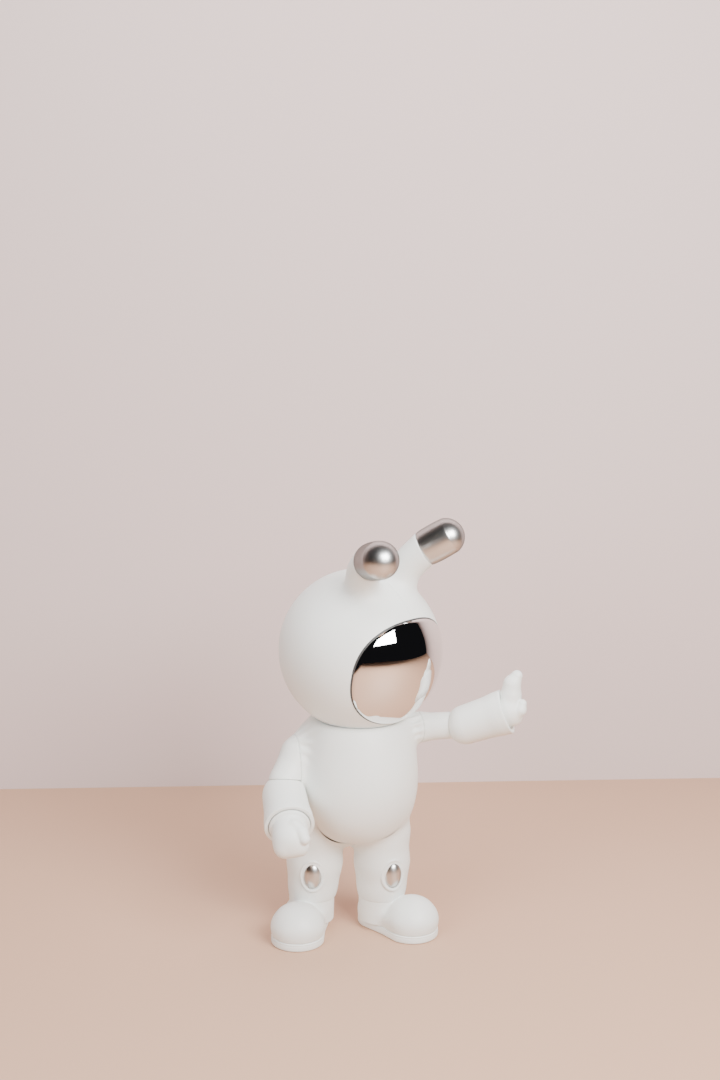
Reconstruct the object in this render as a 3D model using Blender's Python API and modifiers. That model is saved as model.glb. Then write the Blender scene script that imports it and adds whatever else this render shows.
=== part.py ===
"""Standing astronaut statue: bubble helmet with a mirror visor and two curved antennae.

The figure faces -Y, its own left is +X, and +Z is up. Lengths are in metres. Every piece is
placed from the neck axis; the last step moves the whole figure so that the origin lies at the
bottom centre of its box.
"""

import math

import bmesh
import bpy
from mathutils import Matrix, Vector

# Driving dimensions
HELMET_R = 0.160
HELMET_Z = 0.572
WALL = 0.006
GAP = 0.0004
HEAD_YAW = math.radians(28)  # the head looks over to the figure's left
BOX_CENTRE = Vector((0.03296, -0.02216, 0.0))  # of the whole figure, from the neck axis

# Neck
DISH_GAP = 0.0018
DISH_WALL = 0.007
DISH_HOLE_R = 0.0125
DISH_REACH = 0.062
NECK_BORE_R = 0.030
NECK_PEG_R = 0.0285

# Visor: an outline stamped through the helmet along an axis that looks a little down
VISOR_PITCH = math.radians(14)
VISOR_HALF = (0.1245, 0.1070)
VISOR_RISE = 0.0056
VISOR_POWER = 2.15
VISOR_WALL = 0.005
VISOR_PROUD = 0.0010

# Antennae, in the head's frame (left, back, up from the helmet's centre), left one
STALK = ((0.034, -0.046, 0.095), (0.048, -0.064, 0.139), (0.056, -0.075, 0.162), (0.073, -0.101, 0.196))
CAP_CENTRE = (0.098, -0.138, 0.226)
STALK_RADII = (0.047, 0.036, 0.0315, 0.0330)
CAP_R = 0.0365
ANTENNA_DROOP = 0.014  # the right antenna hangs this much lower at its tip
SPIGOT_R = 0.022
SPIGOT_LENGTH = 0.024

# Torso: a turned egg whose belly comes forward, axis at TORSO_X, TORSO_Y
TORSO_X = -0.006
TORSO_Y = -0.004
TORSO_DEPTH = 0.97  # depth over width
BELLY_FORWARD = 0.010
TORSO_OUTER = (
    (0.0985, 0.4285),
    (0.1075, 0.4210),
    (0.1120, 0.4080),
    (0.1150, 0.385),
    (0.1165, 0.350),
    (0.1165, 0.310),
    (0.1140, 0.275),
    (0.1060, 0.242),
    (0.0900, 0.213),
    (0.0650, 0.194),
    (0.0340, 0.185),
)
TORSO_RIM_R = 0.0800

# Legs: centre line stations (x, y, z) and radii, top to bottom
LEG_LINE = {
    "right": (
        (-0.078, 0.024, 0.262),
        (-0.082, 0.025, 0.243),
        (-0.085, 0.026, 0.208),
        (-0.088, 0.025, 0.135),
        (-0.092, 0.024, 0.088),
        (-0.095, 0.023, 0.047),
    ),
    "left": (
        (0.040, -0.010, 0.262),
        (0.040, -0.011, 0.243),
        (0.041, -0.013, 0.208),
        (0.041, -0.016, 0.135),
        (0.040, -0.017, 0.088),
        (0.039, -0.018, 0.047),
    ),
}
LEG_RADII = (0.028, 0.047, 0.0550, 0.0535, 0.0475, 0.0430)
LEG_BORE_TOP = 2  # the station where a leg's bore ends
KNEE_SPAN = (3, 4)  # the stations above and below the knee
KNEE_Z = 0.124
KNEE_YAW = {"right": math.radians(-20), "left": math.radians(7)}
KNEE_DOME = (0.0182, 0.0100, 0.0258)
KNEE_RING = (0.0225, 0.0305)
KNEE_RING_R = 0.0048

# Boots: toe and heel centres on the floor
BOOT_TOE = {"right": (-0.143, -0.042), "left": (0.083, -0.079)}
BOOT_HEEL = {"right": (-0.098, 0.040), "left": (0.040, -0.002)}
TOE_R = 0.050
HEEL_R = 0.0405
TOE_TOP = 0.088
HEEL_TOP = 0.074
SOLE_TOP = 0.018
WELT = 0.0025
SOLE_EDGE = 0.004

# Arms. A shoulder is the centre of the flat seam, across X, between a boss and the upper arm.
SHOULDER = {"right": (-0.133, 0.004, 0.384), "left": (0.116, -0.022, 0.409)}
ELBOW = {"right": (-0.161, -0.020, 0.326), "left": (0.176, -0.058, 0.418)}
CUFF = {"right": (-0.177, -0.112, 0.268), "left": (0.258, -0.109, 0.450)}
BOSS_R = {"right": 0.0400, "left": 0.0310}
BOSS_DEPTH = 0.050
ARM_R = {"right": 0.0320, "left": 0.0290}
BULB_R = {"right": 0.0440, "left": 0.0400}
BULB_OFFSET = 0.66  # elbow seam to the bulb's centre, as a share of the bulb's radius
SLEEVE_END_R = {"right": 0.0460, "left": 0.0425}
SLEEVE_WALL = 0.005
CUFF_DEPTH = 0.020
PEG_R = 0.009
PEG_LENGTH = 0.030
PIN_REACH = 0.014  # of a shoulder pin beyond the seam, into the arm
PIN_LENGTH = {"right": 0.046, "left": 0.036}
PIN_HEAD = (0.014, 0.005)  # radius and thickness
GLOVE_R = {"right": 0.0340, "left": 0.0310}
FIST = (0.0345, 0.0330, 0.0310)

FINE = 36  # sides of the largest round pieces
ROUND = 24
SMALL = 16
DISC = 0.004

WHITE = ("white_shell", (0.86, 0.86, 0.84), 0.55, 0.0)
TRIM = ("white_trim", (0.84, 0.84, 0.82), 0.50, 0.0)
INNER = ("inner_grey", (0.45, 0.45, 0.46), 0.60, 0.0)
SILVER = ("satin_silver", (0.66, 0.66, 0.67), 0.32, 1.0)
MIRROR = ("mirror_visor", (0.80, 0.80, 0.81), 0.03, 1.0)
SIDES = ("right", "left")


def clear_scene():
    for obj in list(bpy.data.objects):
        bpy.data.objects.remove(obj)


def new_collection(name):
    collection = bpy.data.collections.new(name)
    bpy.context.scene.collection.children.link(collection)
    return collection


def material(spec):
    name, colour, roughness, metallic = spec
    found = bpy.data.materials.get(name)
    if found:
        return found
    made = bpy.data.materials.new(name)
    made.use_nodes = True
    shader = made.node_tree.nodes["Principled BSDF"]
    shader.inputs["Base Color"].default_value = (*colour, 1.0)
    shader.inputs["Roughness"].default_value = roughness
    shader.inputs["Metallic"].default_value = metallic
    return made


def link(name, mesh, spec, collection):
    """An object in its collection. A cutter takes no material and isn't rendered."""
    obj = bpy.data.objects.new(name, mesh)
    collection.objects.link(obj)
    if spec is None:
        obj.hide_render = True
        obj.display_type = "WIRE"
    else:
        mesh.materials.append(material(spec))
        mesh.shade_smooth()
    return obj


def from_bmesh(name, bm, spec, collection):
    mesh = bpy.data.meshes.new(name)
    bm.to_mesh(mesh)
    bm.free()
    return link(name, mesh, spec, collection)


def turned(name, profile, spec, collection, steps=ROUND):
    """A Screw of a profile of (radius, height), its outer side running from top to bottom."""
    bm = bmesh.new()
    points = [bm.verts.new((radius, 0.0, height)) for radius, height in profile]
    for first, second in zip(points, points[1:]):
        bm.edges.new((first, second))
    if profile[0][0] > 0 and profile[-1][0] > 0:
        bm.edges.new((points[-1], points[0]))
    obj = from_bmesh(name, bm, spec, collection)
    screw = obj.modifiers.new("Screw", "SCREW")
    screw.steps = screw.render_steps = steps
    screw.use_merge_vertices = True
    screw.merge_threshold = 0.00001
    screw.use_smooth_shade = True
    return obj


def solid_mesh(obj):
    """Replaces an object by its evaluated mesh, so that its points can be moved or joined."""
    bpy.context.view_layer.update()
    graph = bpy.context.evaluated_depsgraph_get()
    mesh = bpy.data.meshes.new_from_object(obj.evaluated_get(graph))
    bm = bmesh.new()
    bm.from_mesh(mesh)
    bmesh.ops.remove_doubles(bm, verts=bm.verts, dist=0.000005)
    bmesh.ops.recalc_face_normals(bm, faces=bm.faces)
    bm.to_mesh(mesh)
    bm.free()
    name, matrix, collection = obj.name, obj.matrix_world.copy(), obj.users_collection[0]
    hidden = obj.hide_render
    bpy.data.objects.remove(obj)
    made = bpy.data.objects.new(name, mesh)
    made.matrix_world = matrix
    made.hide_render = hidden
    made.display_type = "WIRE" if hidden else "TEXTURED"
    collection.objects.link(made)
    return made


def tube(name, points, radii, spec, collection, sides=ROUND):
    """A curve with a bevel whose radius changes along it, made a mesh."""
    data = bpy.data.curves.new(name, "CURVE")
    data.dimensions = "3D"
    data.bevel_depth = 1.0
    data.bevel_resolution = sides // 4 - 1
    data.resolution_u = 3
    data.use_fill_caps = True
    spline = data.splines.new("BEZIER")
    spline.bezier_points.add(len(points) - 1)
    for knot, point, radius in zip(spline.bezier_points, points, radii):
        knot.co = point
        knot.radius = radius
        knot.handle_left_type = knot.handle_right_type = "AUTO"
    obj = bpy.data.objects.new(name, data)
    collection.objects.link(obj)
    if spec is not None:
        data.materials.append(material(spec))
    obj.hide_render = spec is None
    return solid_mesh(obj)


def sphere(name, centre, radius, spec, collection, scale=(1, 1, 1), segments=ROUND):
    bm = bmesh.new()
    bmesh.ops.create_uvsphere(bm, u_segments=segments, v_segments=segments // 2, radius=radius)
    bmesh.ops.scale(bm, vec=scale, verts=bm.verts)
    obj = from_bmesh(name, bm, spec, collection)
    obj.location = centre
    return obj


def cylinder(name, radius, length, spec, collection, segments=ROUND):
    """A cylinder that stands on its origin."""
    bm = bmesh.new()
    bmesh.ops.create_cone(
        bm, cap_ends=True, segments=segments, radius1=radius, radius2=radius, depth=length,
        matrix=Matrix.Translation((0, 0, length / 2)),
    )
    return from_bmesh(name, bm, spec, collection)


def cone(name, start_r, end_r, length, collection):
    """A cutter that starts at its origin with one radius and ends along +Z with another."""
    bm = bmesh.new()
    bmesh.ops.create_cone(
        bm, cap_ends=True, segments=ROUND, radius1=start_r, radius2=end_r, depth=length,
        matrix=Matrix.Translation((0, 0, length / 2)),
    )
    return from_bmesh(name, bm, None, collection)


def box(name, low, high, collection):
    bm = bmesh.new()
    bmesh.ops.create_cube(bm, size=1.0)
    size = Vector(high) - Vector(low)
    bmesh.ops.scale(bm, vec=size, verts=bm.verts)
    bmesh.ops.translate(bm, vec=Vector(low) + size / 2, verts=bm.verts)
    return from_bmesh(name, bm, None, collection)


def boolean(obj, other, operation):
    modifier = obj.modifiers.new(operation.title() + " " + other.name, "BOOLEAN")
    modifier.operation = operation
    modifier.solver = "EXACT"
    modifier.object = other
    other.hide_render = True
    other.display_type = "WIRE"


def cut(obj, *cutters):
    for cutter in cutters:
        boolean(obj, cutter, "DIFFERENCE")


def join(obj, *others):
    for other in others:
        boolean(obj, other, "UNION")


def look_along(direction, origin):
    """A matrix whose local +Z points along a direction."""
    turn = Vector(direction).to_track_quat("Z", "Y").to_matrix().to_4x4()
    return Matrix.Translation(origin) @ turn


def head_matrix():
    return Matrix.Translation((0, 0, HELMET_Z)) @ Matrix.Rotation(HEAD_YAW, 4, "Z")


def on_sphere(radius, sphere_r):
    """Height of the helmet's lower surface, grown to sphere_r, at a radius from the neck axis."""
    return HELMET_Z - math.sqrt(sphere_r**2 - radius**2)


def visor_prism(name, grow, depth_from, depth_to, collection):
    """The visor's outline, grown, drawn out along its axis, in front of the helmet's centre."""
    bm = bmesh.new()
    count = 40
    rim = []
    for index in range(count):
        angle = 2 * math.pi * index / count
        across, upward = math.cos(angle), math.sin(angle)
        width = math.copysign(abs(across) ** (2 / VISOR_POWER), across) * (VISOR_HALF[0] + grow)
        height = math.copysign(abs(upward) ** (2 / VISOR_POWER), upward) * (VISOR_HALF[1] + grow)
        rim.append(bm.verts.new((width, height + VISOR_RISE, depth_from)))
    face = bm.faces.new(rim)
    drawn = bmesh.ops.extrude_face_region(bm, geom=[face])
    moved = [item for item in drawn["geom"] if isinstance(item, bmesh.types.BMVert)]
    bmesh.ops.translate(bm, vec=(0, 0, depth_to - depth_from), verts=moved)
    bmesh.ops.recalc_face_normals(bm, faces=bm.faces)
    obj = from_bmesh(name, bm, None, collection)
    forward = Matrix.Rotation(math.radians(90) + VISOR_PITCH, 4, "X")
    obj.matrix_world = head_matrix() @ forward
    return obj


def make_head(parts, cutters):
    centre = (0, 0, HELMET_Z)
    inner = sphere("helmet_hollow", centre, HELMET_R - WALL, None, cutters)
    opening = visor_prism("visor_opening", GAP, 0.03, 0.20, cutters)
    bore = cylinder("neck_bore", NECK_BORE_R, 0.10, None, cutters)
    bore.location = (0, 0, HELMET_Z - HELMET_R - 0.04)
    for side, sign in zip(SIDES, (-1, 1)):
        half = sphere(f"helmet_shell_{side}", centre, HELMET_R, WHITE, parts, segments=FINE)
        reach = 0.4
        low, high = (-sign * reach, -reach, -reach), (sign * GAP / 2, reach, reach)
        away = box(f"other_half_{side}", low, high, cutters)
        if sign < 0:
            away.data.flip_normals()
        away.matrix_world = head_matrix()
        make_antenna(half, side, sign, parts, cutters)
        cut(half, inner, opening, bore, away)
    make_visor(parts, cutters)


def antenna_points(sign):
    """The stalk's centre line and the cap's centre in world space; the right side droops."""
    base_z, tip_z = STALK[0][2], CAP_CENTRE[2]
    placed = []
    for left, back, up in (*STALK, CAP_CENTRE):
        droop = ANTENNA_DROOP * (up - base_z) / (tip_z - base_z) if sign < 0 else 0.0
        placed.append(head_matrix() @ Vector((sign * left, back, up - droop)))
    return placed[:-1], placed[-1]


def make_antenna(half, side, sign, parts, cutters):
    line, tip = antenna_points(sign)
    axis = (tip - line[-1]).normalized()
    length = (tip - line[-1]).length
    past_end = line[-1] + axis * 0.01
    stalk = tube(f"stalk_{side}", [*line, past_end], (*STALK_RADII, STALK_RADII[-1]), None, cutters)
    beyond = cylinder(f"beyond_stalk_{side}", 2 * CAP_R, 2 * CAP_R, None, cutters)
    beyond.matrix_world = look_along(axis, line[-1])
    cut(stalk, beyond)
    spigot = cylinder(f"spigot_{side}", SPIGOT_R, SPIGOT_LENGTH + 0.010, None, cutters, segments=SMALL)
    spigot.matrix_world = look_along(axis, line[-1] - axis * 0.010)
    join(half, stalk, spigot)
    # A cap is a deep cup with a round end; its rim meets the stalk's shoulder.
    rim = GAP
    dome = [(CAP_R * math.sin(a), length + CAP_R * math.cos(a)) for a in arc(0, 90, 9)]
    bore_top = SPIGOT_LENGTH + 0.002
    profile = [*dome, (CAP_R, rim), (SPIGOT_R + GAP, rim), (SPIGOT_R + GAP, bore_top), (0.0, bore_top)]
    cap = turned(f"antenna_cap_{side}", profile, SILVER, parts, steps=ROUND)
    cap.matrix_world = look_along(axis, line[-1])


def arc(start, stop, count):
    """Angles in radians, evenly spaced, ends included."""
    return [math.radians(start + (stop - start) * index / (count - 1)) for index in range(count)]


def make_visor(parts, cutters):
    centre = (0, 0, HELMET_Z)
    outer = HELMET_R + VISOR_PROUD
    visor = sphere("visor", centre, outer, MIRROR, parts, segments=FINE)
    lens = visor_prism("visor_outline", -GAP, 0.05, 0.22, cutters)
    boolean(visor, lens, "INTERSECT")
    cut(visor, sphere("visor_back", centre, outer - VISOR_WALL, None, cutters))
    ring = sphere("visor_ring", centre, HELMET_R - WALL - GAP, INNER, parts)
    boolean(ring, visor_prism("ring_outline", 0.006, 0.05, 0.20, cutters), "INTERSECT")
    cut(
        ring,
        visor_prism("ring_hole", -0.007, 0.02, 0.22, cutters),
        sphere("ring_back", centre, HELMET_R - WALL - 0.005, None, cutters),
    )


def torso_side(distance):
    """The torso's side, top to bottom, moved outwards along its own normals."""
    moved = []
    last = len(TORSO_OUTER) - 1
    for index, (radius, height) in enumerate(TORSO_OUTER):
        before, after = TORSO_OUTER[max(index - 1, 0)], TORSO_OUTER[min(index + 1, last)]
        down = Vector((after[0] - before[0], after[1] - before[1])).normalized()
        moved.append((radius - down.y * distance, height + down.x * distance))
    return moved


def torso_solid(name, distance, spec, collection):
    rim = TORSO_RIM_R + distance
    top = [(0.0, HELMET_Z - HELMET_R / 2), (rim, on_sphere(rim, HELMET_R + DISH_GAP))]
    bottom = (0.0, TORSO_OUTER[-1][1] - 0.002 - distance)
    solid = solid_mesh(turned(name, [*top, *torso_side(distance), bottom], spec, collection, FINE))
    belly(solid)
    return solid


def belly(obj):
    """Shapes a turned torso: a little shallower than wide, and forward towards the belly."""
    top, bottom = TORSO_OUTER[0][1], TORSO_OUTER[-1][1]
    for vertex in obj.data.vertices:
        share = min(max((top - vertex.co.z) / (top - bottom), 0.0), 1.0)
        vertex.co.y = vertex.co.y * TORSO_DEPTH - BELLY_FORWARD * math.sin(share * math.pi) ** 2
    obj.location = (TORSO_X, TORSO_Y, 0)


def head_room(name, cutters):
    return sphere(name, (0, 0, HELMET_Z), HELMET_R + DISH_GAP, None, cutters, segments=FINE)


def make_torso(parts, cutters):
    """The hollow shell, with a round hole on top for the dish, and its grown copy as a cutter."""
    outer = torso_solid("torso_shell", 0.0, WHITE, parts)
    hole_r = DISH_REACH * (1 + DISH_WALL / (HELMET_R + DISH_GAP)) + GAP
    deck_z = on_sphere(hole_r, HELMET_R + DISH_GAP) - WALL
    inside = torso_side(-WALL)
    profile = [(0.0, deck_z), (inside[0][0], deck_z), *inside[1:-1], (0.0, TORSO_OUTER[-1][1] + WALL)]
    hollow = solid_mesh(turned("torso_hollow", profile, None, cutters, ROUND))
    belly(hollow)
    hole = cylinder("dish_hole", hole_r, 2 * WALL, None, cutters)
    hole.location = (0, 0, deck_z - WALL / 2)
    cut(outer, hollow, hole, head_room("torso_head_room", cutters))
    make_neck(parts)
    return outer, torso_solid("torso_grown", GAP, None, cutters)


def make_neck(parts):
    """A dish that the helmet turns in, and the flanged peg that holds the helmet down."""
    inner = HELMET_R + DISH_GAP
    outer = inner + DISH_WALL
    low, high = math.asin(DISH_HOLE_R / inner), math.asin(DISH_REACH / inner)
    sweep = [low + (high - low) * index / 6 for index in range(7)]
    under = [(outer * math.sin(a), HELMET_Z - outer * math.cos(a)) for a in reversed(sweep)]
    upper = [(inner * math.sin(a), HELMET_Z - inner * math.cos(a)) for a in sweep]
    turned("neck_dish", [*under, *upper], WHITE, parts)
    flange_z = on_sphere(0.042, HELMET_R - WALL) + 0.001
    floor_z = HELMET_Z - outer - 0.010
    foot_r = DISH_HOLE_R - 2 * GAP
    head = [(0.0, flange_z + 0.008), (0.042, flange_z + 0.008), (0.042, flange_z), (NECK_PEG_R, flange_z)]
    shoulder_z = on_sphere(NECK_PEG_R, inner) + GAP
    foot = [(NECK_PEG_R, shoulder_z), (foot_r, on_sphere(foot_r, inner) + GAP), (foot_r, floor_z), (0.0, floor_z)]
    turned("neck_peg", [*head, *foot], INNER, parts)


def make_leg(side, torso_cutter, parts, cutters):
    """A leg, bored from below, and the two cutters that make room for its foot in the boot."""
    line = [Vector(point) for point in LEG_LINE[side]]
    leg = tube(f"leg_{side}", line, LEG_RADII, WHITE, parts)
    bore = [*line[LEG_BORE_TOP:], line[-1] - Vector((0, 0, 0.02))]
    bore_radii = [radius - WALL for radius in (*LEG_RADII[LEG_BORE_TOP:], LEG_RADII[-1])]
    cut(leg, torso_cutter, tube(f"leg_bore_{side}", bore, bore_radii, None, cutters, sides=SMALL))
    grown = tube(f"leg_grown_{side}", line, [radius + GAP for radius in LEG_RADII], None, cutters)
    socket = cylinder(f"ankle_room_{side}", LEG_RADII[-1] + GAP, 0.03, None, cutters)
    socket.location = line[-1] - Vector((0, 0, GAP))
    make_knee(side, grown, parts, cutters)
    return grown, socket


def knee_place(side):
    """The knee's matrix: +Z outwards from the leg at KNEE_Z, +Y up."""
    line = [Vector(point) for point in LEG_LINE[side]]
    above, below = KNEE_SPAN
    upper, lower = line[above], line[below]
    share = (upper.z - KNEE_Z) / (upper.z - lower.z)
    centre = upper.lerp(lower, share)
    radius = LEG_RADII[above] + (LEG_RADII[below] - LEG_RADII[above]) * share
    yaw = KNEE_YAW[side]
    outward = Vector((math.sin(yaw), -math.cos(yaw), 0))
    turn = Matrix.Rotation(yaw, 4, "Z") @ Matrix.Rotation(math.radians(90), 4, "X")
    return Matrix.Translation(centre + outward * (radius - 0.0005)) @ turn


def make_knee(side, leg_cutter, parts, cutters):
    place = knee_place(side)
    dome = sphere(
        f"knee_dome_{side}", (0, 0, 0), 1.0, SILVER, parts,
        scale=(KNEE_DOME[0], KNEE_DOME[2], KNEE_DOME[1]), segments=ROUND,
    )
    dome.matrix_world = place
    cut(dome, leg_cutter)
    bm = bmesh.new()
    count, sides = 28, 8
    loops = []
    for index in range(count):
        angle = 2 * math.pi * index / count
        outward = Vector((math.cos(angle), math.sin(angle), 0))
        centre = Vector((KNEE_RING[0] * outward.x, KNEE_RING[1] * outward.y, 0))
        loop = []
        for step in range(sides):
            turn = 2 * math.pi * step / sides
            offset = outward * math.cos(turn) * KNEE_RING_R * 0.75
            lift = Vector((0, 0, math.sin(turn) * KNEE_RING_R * 1.7 - centre.x**2 / 0.105))
            loop.append(bm.verts.new(centre + offset + lift))
        loops.append(loop)
    for here, after in zip(loops, loops[1:] + loops[:1]):
        for step in range(sides):
            nxt = (step + 1) % sides
            bm.faces.new((here[step], after[step], after[nxt], here[nxt]))
    bmesh.ops.recalc_face_normals(bm, faces=bm.faces)
    ring = from_bmesh(f"knee_ring_{side}", bm, TRIM, parts)
    ring.matrix_world = place
    cut(ring, leg_cutter)


def hull_of(name, solids, spec, collection):
    """The convex hull of the points of a bmesh holding several solids."""
    bm = bmesh.new()
    for vertex in solids.verts:
        bm.verts.new(vertex.co)
    solids.free()
    hull = bmesh.ops.convex_hull(bm, input=bm.verts)
    left_over = {*hull["geom_interior"], *hull["geom_unused"]}
    spare = [item for item in left_over if isinstance(item, bmesh.types.BMVert)]
    bmesh.ops.delete(bm, geom=spare, context="VERTS")
    bmesh.ops.dissolve_limit(bm, angle_limit=math.radians(1), verts=bm.verts, edges=bm.edges)
    bmesh.ops.recalc_face_normals(bm, faces=bm.faces)
    return from_bmesh(name, bm, spec, collection)


def hull_of_balls(name, balls, spec, collection):
    """The convex hull of squashed balls: (centre, horizontal radius, vertical radius)."""
    bm = bmesh.new()
    for centre, radius, upright in balls:
        made = bmesh.ops.create_uvsphere(bm, u_segments=ROUND, v_segments=16, radius=radius)
        bmesh.ops.scale(bm, vec=(1, 1, upright / radius), verts=made["verts"])
        bmesh.ops.translate(bm, vec=centre, verts=made["verts"])
    return hull_of(name, bm, spec, collection)


def make_boot(side, ankle_cutters, parts, cutters):
    toe, heel = Vector((*BOOT_TOE[side], 0)), Vector((*BOOT_HEEL[side], 0))
    toe_z, heel_z = TOE_TOP * 0.42, HEEL_TOP * 0.5
    upper = hull_of_balls(
        f"boot_upper_{side}",
        (
            (toe + Vector((0, 0, toe_z)), TOE_R, TOE_TOP - toe_z),
            (heel + Vector((0, 0, heel_z)), HEEL_R, HEEL_TOP - heel_z),
        ),
        WHITE,
        parts,
    )
    below = box(f"sole_room_{side}", (-0.3, -0.3, -0.05), (0.3, 0.3, SOLE_TOP + GAP), cutters)
    cut(upper, below, *ankle_cutters)
    bm = bmesh.new()
    for centre, radius in ((toe, TOE_R + WELT), (heel, HEEL_R + WELT)):
        bmesh.ops.create_cone(
            bm, cap_ends=True, segments=ROUND, radius1=radius, radius2=radius, depth=SOLE_TOP,
            matrix=Matrix.Translation(centre + Vector((0, 0, SOLE_TOP / 2))),
        )
    sole = hull_of(f"boot_sole_{side}", bm, TRIM, parts)
    edge = sole.modifiers.new("Edge", "BEVEL")
    edge.width = SOLE_EDGE
    edge.segments = 3
    edge.limit_method = "ANGLE"
    edge.angle_limit = math.radians(60)


def make_arm(side, torso, torso_cutter, parts, cutters):
    shoulder, elbow, cuff = (Vector(table[side]) for table in (SHOULDER, ELBOW, CUFF))
    outward = Vector((-1, 0, 0)) if side == "right" else Vector((1, 0, 0))
    arm_middle = shoulder + outward * ARM_R[side] * 0.6
    arm_axis = (elbow - arm_middle).normalized()
    make_shoulder(side, torso, torso_cutter, outward, parts, cutters)
    make_upper_arm(side, elbow, outward, arm_axis, parts, cutters)
    sleeve_axis = make_sleeve(side, elbow, cuff, arm_axis, parts, cutters)
    make_hand(side, cuff, sleeve_axis, parts, cutters)


def make_shoulder(side, torso, torso_cutter, outward, parts, cutters):
    """A boss on the torso's side, and the headed pin that the arm turns on."""
    seam = Vector(SHOULDER[side])
    boss = cylinder(f"shoulder_boss_{side}", BOSS_R[side], BOSS_DEPTH - GAP, WHITE, parts)
    boss.matrix_world = look_along(outward, seam - outward * BOSS_DEPTH)
    pin_room = cylinder(f"pin_room_{side}", PEG_R + GAP, 2 * BOSS_DEPTH, None, cutters, segments=SMALL)
    pin_room.matrix_world = look_along(outward, seam - outward * 1.5 * BOSS_DEPTH)
    cut(boss, torso_cutter, pin_room, head_room(f"boss_head_room_{side}", cutters))
    head_r, head_length = PIN_HEAD
    foot = PIN_LENGTH[side]
    head_pocket = cylinder(f"pin_head_room_{side}", head_r + GAP, 4 * head_length, None, cutters, SMALL)
    head_pocket.matrix_world = look_along(-outward, seam - outward * (foot - GAP))
    cut(torso, pin_room, head_pocket)
    profile = [
        (0.0, foot + head_length), (head_r, foot + head_length), (head_r, foot),
        (PEG_R, foot), (PEG_R, -PIN_REACH), (0.0, -PIN_REACH),
    ]
    pin = turned(f"shoulder_pin_{side}", profile, INNER, parts, steps=SMALL)
    pin.matrix_world = look_along(-outward, seam)


def make_upper_arm(side, elbow, outward, arm_axis, parts, cutters):
    """The hull of the seam's disc and the elbow's disc, bored for both pins."""
    seam, radius = Vector(SHOULDER[side]), ARM_R[side]
    bm = bmesh.new()
    for place, disc_r in (
        (look_along(outward, seam + outward * GAP), BOSS_R[side] - 0.001),
        (look_along(outward, seam + outward * radius * 0.5), BOSS_R[side] * 0.8),
        (look_along(arm_axis, elbow - arm_axis * (GAP + DISC)), radius),
    ):
        bmesh.ops.create_cone(
            bm, cap_ends=True, segments=ROUND, radius1=disc_r, radius2=disc_r, depth=DISC,
            matrix=place @ Matrix.Translation((0, 0, DISC / 2)),
        )
    arm = hull_of(f"upper_arm_{side}", bm, WHITE, parts)
    pin_room = cylinder(f"arm_pin_room_{side}", PEG_R + GAP, 2 * PIN_REACH, None, cutters, segments=SMALL)
    pin_room.matrix_world = look_along(outward, seam - outward * (PIN_REACH - GAP))
    elbow_room = cylinder(f"arm_elbow_room_{side}", PEG_R + GAP, PEG_LENGTH, None, cutters, segments=SMALL)
    elbow_room.matrix_world = look_along(arm_axis, elbow - arm_axis * PEG_LENGTH / 2)
    beyond_seam = cylinder(f"beyond_seam_{side}", 2 * BOSS_R[side], BOSS_DEPTH, None, cutters)
    beyond_seam.matrix_world = look_along(-outward, seam + outward * GAP)
    cut(arm, beyond_seam, pin_room, elbow_room)


def make_sleeve(side, elbow, cuff, arm_axis, parts, cutters):
    """A bell sleeve that bends away from the upper arm, its end hollowed into a cuff."""
    start_r, end_r = BULB_R[side], SLEEVE_END_R[side]
    bulb = elbow + arm_axis * start_r * BULB_OFFSET
    sleeve_axis = (cuff - bulb).normalized()
    sleeve = sphere(f"sleeve_{side}", bulb, start_r, WHITE, parts)
    sleeve.matrix_world = look_along(sleeve_axis, bulb)
    ahead = start_r / 8
    bell = cone(f"bell_{side}", start_r, end_r, (cuff - bulb).length - ahead, cutters)
    bell.matrix_world = look_along(sleeve_axis, bulb + sleeve_axis * ahead)
    join(sleeve, bell)
    above = cylinder(f"above_elbow_{side}", 2 * start_r, start_r, None, cutters)
    above.matrix_world = look_along(-arm_axis, elbow)
    recess = cylinder(f"cuff_room_{side}", end_r - SLEEVE_WALL, CUFF_DEPTH + 0.02, None, cutters)
    recess.matrix_world = look_along(sleeve_axis, cuff - sleeve_axis * CUFF_DEPTH)
    elbow_room = cylinder(f"sleeve_elbow_room_{side}", PEG_R + GAP, PEG_LENGTH, None, cutters, SMALL)
    elbow_room.matrix_world = look_along(arm_axis, elbow - arm_axis * PEG_LENGTH / 2)
    wrist = cuff - sleeve_axis * (CUFF_DEPTH + PEG_LENGTH / 2)
    wrist_room = cylinder(f"sleeve_wrist_room_{side}", PEG_R + GAP, PEG_LENGTH, None, cutters, SMALL)
    wrist_room.matrix_world = look_along(sleeve_axis, wrist)
    cut(sleeve, above, recess, elbow_room, wrist_room)
    elbow_start = elbow - arm_axis * PEG_LENGTH / 2
    for name, axis, start in (("elbow", arm_axis, elbow_start), ("wrist", sleeve_axis, wrist)):
        peg = cylinder(f"{name}_peg_{side}", PEG_R, PEG_LENGTH - 4 * GAP, INNER, parts, SMALL)
        peg.matrix_world = look_along(axis, start + axis * 2 * GAP)
    return sleeve_axis


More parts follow.
